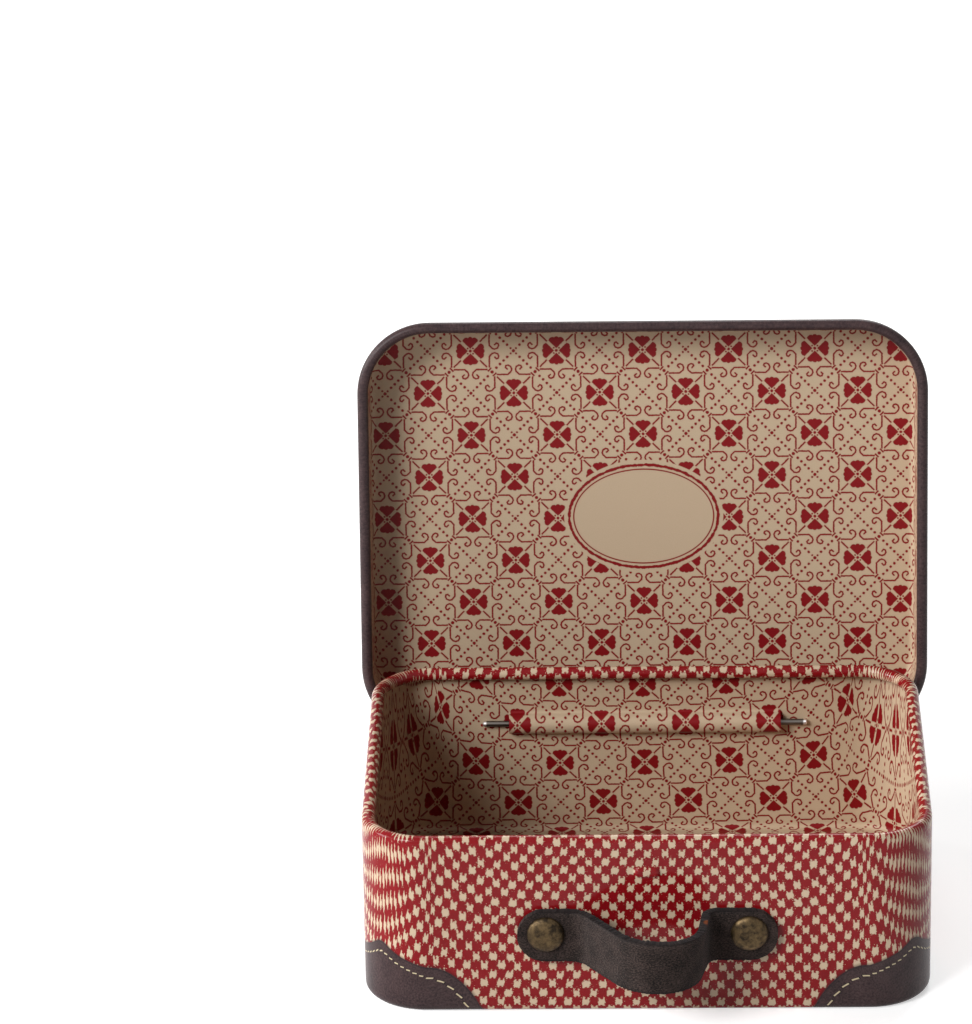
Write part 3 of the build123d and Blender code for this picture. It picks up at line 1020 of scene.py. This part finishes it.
# %% Turn the lid open
open_angle = 100.0
only(lid)
to_mode("EDIT")
bpy.ops.mesh.select_all(action="SELECT")
bpy.ops.transform.rotate(value=math.radians(open_angle), orient_axis="X", orient_type="GLOBAL",
                         center_override=Vector((0, hinge_y, hinge_z)) * mm)
to_mode("OBJECT")
measured(lid)
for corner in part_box("lid_tray"):
    print("CAD lid's corner", [round(place / mm, 2) for place in corner])

# %% [markdown]
# The handle is one strip of nubuck, cut with round ends. It lies flat under both rivets and bows out
# between them. A flat strip is made first, with a slightly frayed edge, and then bent along a curve,
# because that keeps its width and gives its grain a flat map, as the real strip has. Its steep right
# flank is twisted a little, lower edge to the left.

# %% The strap's line
rivet_z, strap_z = 14.3, 13.85
strap_thickness, strap_width, strap_bulge = 1.2, 8.6, 12.2
strap_y = front_y - strap_thickness / 2
strap_reach = 20.5
strap_corners = [(-strap_reach, 0), (-10.45, 0), (-2.5, 0.91 * strap_bulge), (7.2, strap_bulge),
                 (9.3, 0), (strap_reach, 0)]
strap_bends = [share * strap_bulge for share in (0.35, 0.60, 0.49, 0.18)]


def rounded_line(corners, bends, steps=12):
    """The corners of a line with an arc of the given radius at each inner one."""
    points = [Vector(corners[0])]
    for before, corner, after, radius in zip(corners, corners[1:], corners[2:], bends):
        arrive = (Vector(corner) - Vector(before)).normalized()
        leave = (Vector(after) - Vector(corner)).normalized()
        turn = arrive.angle_signed(leave)
        start = Vector(corner) - arrive * (radius * math.tan(abs(turn) / 2))
        side = Vector((-arrive.y, arrive.x)) * (-math.copysign(1, turn))
        centre = start + side * radius
        for k in range(steps + 1):
            points.append(centre + Matrix.Rotation(-turn * k / steps, 2) @ (start - centre))
    return points + [Vector(corners[-1])]


line = rounded_line(strap_corners, strap_bends)
strap_length = sum((b - a).length for a, b in zip(line, line[1:]))
path_data = bpy.data.curves.new("strap_line", "CURVE")
path_data.dimensions = "3D"
path_data.twist_mode = "Z_UP"
spline = path_data.splines.new("POLY")
spline.points.add(len(line) - 1)
for point, spot in zip(spline.points, line):
    point.co = (spot.x * mm, (strap_y - spot.y) * mm, strap_z * mm, 1)
path = bpy.data.objects.new("strap_line", path_data)
bpy.context.collection.objects.link(path)
print("strap length", round(strap_length, 2), "mm")

# %% The strap
fray, edge_round, flank_twist = 0.045, 0.20, 0.15
grid = bpy.ops.mesh.primitive_grid_add
strap = started("leather_strap", grid, (strap_length / 2, 0, 0), (math.pi / 2, 0, 0),
                x_subdivisions=260, y_subdivisions=24, size=1.0)
places = vertex_places(strap) * mm
along = (places[:, 0] - strap_length / 2 * mm + 0.5)
across = places[:, 2] * 2
end_radius = strap_width / 2
end_share = end_radius / strap_length * 1.2
part = np.minimum(along, 1 - along) / end_share
rounding = np.clip(part, 0, 1)
x = np.where(part < 1, end_radius * (1 - np.cos(rounding * math.pi / 2)),
             end_radius + (np.minimum(along, 1 - along) - end_share) / (0.5 - end_share)
             * (strap_length / 2 - end_radius))
x = np.where(along > 0.5, strap_length - x, x)
z = across * end_radius * np.where(part < 1, np.sin(rounding * math.pi / 2), 1)
frayed = np.random.default_rng(5).normal(0, fray, len(x)) * (abs(across) > 0.99)
put_vertices(strap, np.stack((x, np.zeros_like(x), z + frayed), axis=1))
only(strap)
to_mode("EDIT")
face_out()
to_mode("OBJECT")
write_map(strap, "Strap", vertex_places(strap)[:, [0, 2]])
modified(strap, "SOLIDIFY", thickness=strap_thickness * mm, offset=0.0)
modified(strap, "BEVEL", width=edge_round * mm, segments=3, limit_method="ANGLE",
         angle_limit=math.radians(60))
modified(strap, "CURVE", object=path, deform_axis="POS_X")
bpy.data.objects.remove(path)
places = vertex_places(strap)
bowed = np.clip((strap_y - places[:, 1]) / strap_bulge, 0, 1) * smooth_step_in(places[:, 0], 2.0, 3.0)
places[:, 0] += flank_twist * bowed * (places[:, 2] - strap_z)
put_vertices(strap, places)
bpy.ops.object.shade_smooth_by_angle(angle=math.radians(70))
measured(strap)

# %% The strap's nubuck
scuff_place = Vector((9.5, -38.0, 18.45)) * mm
nubuck, tree, shader = new_material("grey_brown_nubuck")
_, v, place = blank_place(tree, "Strap")
streaked = add(tree, "ShaderNodeMapping", Vector=place, Scale=(0.6, 1.0, 1.0))
grain = noise(tree, streaked.outputs["Vector"], 4.8, 4.0, 0.85)
clouds = noise(tree, place, 0.35, 3.0)
raw_edge = covered((strap_width / 2 - abs(v)).most(0.0) - 0.25, 0.5)
tone = (grain - 0.5) * 5.6 + (clouds - 0.5) * 1.2 + 0.42
colour = blend_colour(tree, tone.clamped(), paint(12, 9, 8), paint(74, 61, 57))
# Lighter specks along the top edge: partly rubbed nap, partly painted light falling from above.
top_wear_and_top_light = covered((strap_width / 2 - v) - 0.5, 0.7) * (grain - 0.35).most(0.0)
colour = blend_colour(tree, top_wear_and_top_light, colour, paint(102, 92, 88))
colour = blend_colour(tree, raw_edge * 0.85, colour, paint(16, 12, 14))
spot = add(tree, "ShaderNodeVectorMath", Vector=tree.nodes.new("ShaderNodeTexCoord").outputs["Object"])
spot.operation = "DISTANCE"
spot.inputs[1].default_value = scuff_place
scuff = covered(Field(tree, spot.outputs["Value"]) / mm - 0.75 - (clouds - 0.5) * 0.8, 0.3)
colour = blend_colour(tree, scuff * 0.7, colour, paint(150, 78, 40))
fill(tree, shader, Base_Color=colour, Roughness=0.85, Specular_IOR_Level=0.08,
     Sheen_Weight=0.06, Sheen_Roughness=0.5)
bumped(tree, shader, grain, 0.00016)
strap.data.materials.append(nubuck)
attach(strap, "case")
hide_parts("handle_strap")

# %% [markdown]
# The rivets' caps are small domes of brass sheet, browned with age and mottled. The
# profile is a few edges drawn from the middle, spun once round.

# %% The rivet caps
cap_radius, cap_rise, crown_radius, crown_share = 2.95, 1.25, 0.35, 0.86
brass, tree, shader = new_material("aged_brass_cap")
place = tree.nodes.new("ShaderNodeTexCoord").outputs["Object"]
mottle = noise(tree, place, 1100.0, 4.0, 0.7)
stain = noise(tree, place, 420.0, 2.0)
tone = (mottle - 0.5) * 2.6 + (stain - 0.5) * 1.4 + 0.45
colour = blend_colour(tree, tone.clamped(), paint(34, 26, 17), paint(98, 80, 54))
fill(tree, shader, Base_Color=colour, Metallic=0.85, Roughness=0.62 - mottle * 0.3)
bumped(tree, shader, mottle, 0.00004)


def rivet_cap(side, x):
    """A dome on the strap: a profile from the crown to the rim, spun round the rivet."""
    seat = front_y - strap_thickness
    cap = started("rivet_dome_" + side, circle, (x, seat - cap_rise, rivet_z), (math.pi / 2, 0, 0),
                  vertices=48, radius=crown_radius * mm)
    chosen(cap, "vertices", lambda cx, cy, cz: cx > x - 1)
    last_radius, last_depth = crown_radius, 0.0
    rings = [(cap_radius * math.sin(t), cap_rise * (1 - math.cos(t)) * crown_share)
             for t in map(math.radians, (16, 26, 36, 46, 56, 66, 75, 83, 88))]
    rings.append((cap_radius, cap_rise))
    for radius, depth in rings:
        draw_out(y=depth - last_depth)
        wider = radius / last_radius
        bpy.ops.transform.resize(value=(wider, 1, wider), orient_type="GLOBAL",
                                 center_override=Vector((x, seat - cap_rise + depth, rivet_z)) * mm)
        last_radius, last_depth = radius, depth
    bpy.ops.mesh.edge_face_add()
    chosen(cap, "vertices", lambda cx, cy, cz: np.hypot(cx - x, cz - rivet_z) < 0.4)
    bpy.ops.mesh.edge_face_add()
    bpy.ops.mesh.select_all(action="SELECT")
    bpy.ops.mesh.normals_make_consistent(inside=False)
    only(cap)
    bpy.ops.object.shade_smooth_by_angle(angle=math.radians(50))
    cap.data.materials.append(brass)
    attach(cap, "case")
    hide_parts("rivet_cap_" + side)
    measured(cap)


rivet_cap("left", -16.0)
rivet_cap("right", 16.0)

# %% [markdown]
# The wire and the rivets' heads are right as the CAD made them, and only get better finishes.

# %% Finishes for the CAD pieces
steel, tree, shader = new_material("drawn_steel_wire")
place = tree.nodes.new("ShaderNodeTexCoord").outputs["Object"]
drawn = add(tree, "ShaderNodeMapping", Vector=place, Scale=(60.0, 2500.0, 2500.0))
scratch = noise(tree, drawn.outputs["Vector"], 1.0, 3.0, 0.6)
dull = blend_colour(tree, scratch, paint(62, 56, 52), paint(132, 126, 120))
along = Field(tree, add(tree, "ShaderNodeSeparateXYZ", Vector=place).outputs["X"])
# The wire's ends are painted almost white: a painted glint where light catches the cut ends.
painted_end_glint = covered(0.0264 - abs(along), 0.0002)
fill(tree, shader, Base_Color=blend_colour(tree, painted_end_glint, dull, paint(235, 233, 230)),
     Roughness=scratch * 0.25 + 0.22, Metallic=1.0)
bumped(tree, shader, scratch, 0.00001)

for node, finish in (("hinge_wire", steel), ("rivet_post_left", brass), ("rivet_post_right", brass)):
    for piece in bpy.data.objects:
        if piece.type == "MESH" and piece.name.split(".")[0] == node:
            for slot in piece.material_slots:
                slot.material = finish
            print(node, "gets", finish.name)

# %% [markdown]
# Plain studio light: two wide soft lamps, one high at the front left and one at the left, and two
# behind the case, a small one low at its left and a wide one above, that draw bright lines on the
# rolled rims. The world adds a faint even light. The camera, gloss and glass see the world and the
# floor white.

# %% Floor, world and lamps
bpy.ops.object.select_all(action="DESELECT")
bpy.ops.mesh.primitive_plane_add(size=6.0, location=(0, 0, 0))
floor = bpy.context.object
floor.name = floor.data.name = "studio_floor"


def seen_white(tree):
    """1 for the rays of the camera, gloss and glass, and 0 for those that light the case."""
    path = tree.nodes.new("ShaderNodeLightPath")
    rays = [Field(tree, path.outputs[f"Is {kind} Ray"]) for kind in ("Camera", "Glossy", "Transmission")]
    return rays[0].most(*rays[1:])


floor_glow, world_light = 0.55, 0.06
white, tree, shader = new_material("floor_white")
fill(tree, shader, Base_Color=(0.82, 0.82, 0.82, 1), Roughness=1.0, Specular_IOR_Level=0.0,
     Emission_Color=(1, 1, 1, 1), Emission_Strength=seen_white(tree) * floor_glow)
floor.data.materials.append(white)

world = bpy.context.scene.world or bpy.data.worlds.new("World")
bpy.context.scene.world = world
world.use_nodes = True
tree = world.node_tree
fill(tree, tree.nodes["Background"], Color=(1, 1, 1, 1),
     Strength=seen_white(tree) * (1.0 - world_light) + world_light)


def lamp(name, place, power, size):
    """A square soft lamp that looks at the case."""
    bpy.ops.object.light_add(type="AREA", location=place)
    made = bpy.context.object
    made.name = name
    made.data.energy, made.data.size = power, size
    made.rotation_euler = (Vector((0, 0, 0.02)) - Vector(place)).to_track_quat("-Z", "Y").to_euler()


lamp("key_lamp", (-0.92, -1.0, 0.93), 21.0, 0.6)
lamp("side_lamp", (-1.52, -0.20, 0.62), 17.0, 0.6)
lamp("edge_lamp", (-1.2, 0.62, 0.45), 2.5, 0.3)
lamp("back_lamp", (0.25, 1.05, 1.15), 13.0, 0.7)
bpy.context.scene.view_settings.view_transform = "Standard"
print("four lamps, world at", world_light)
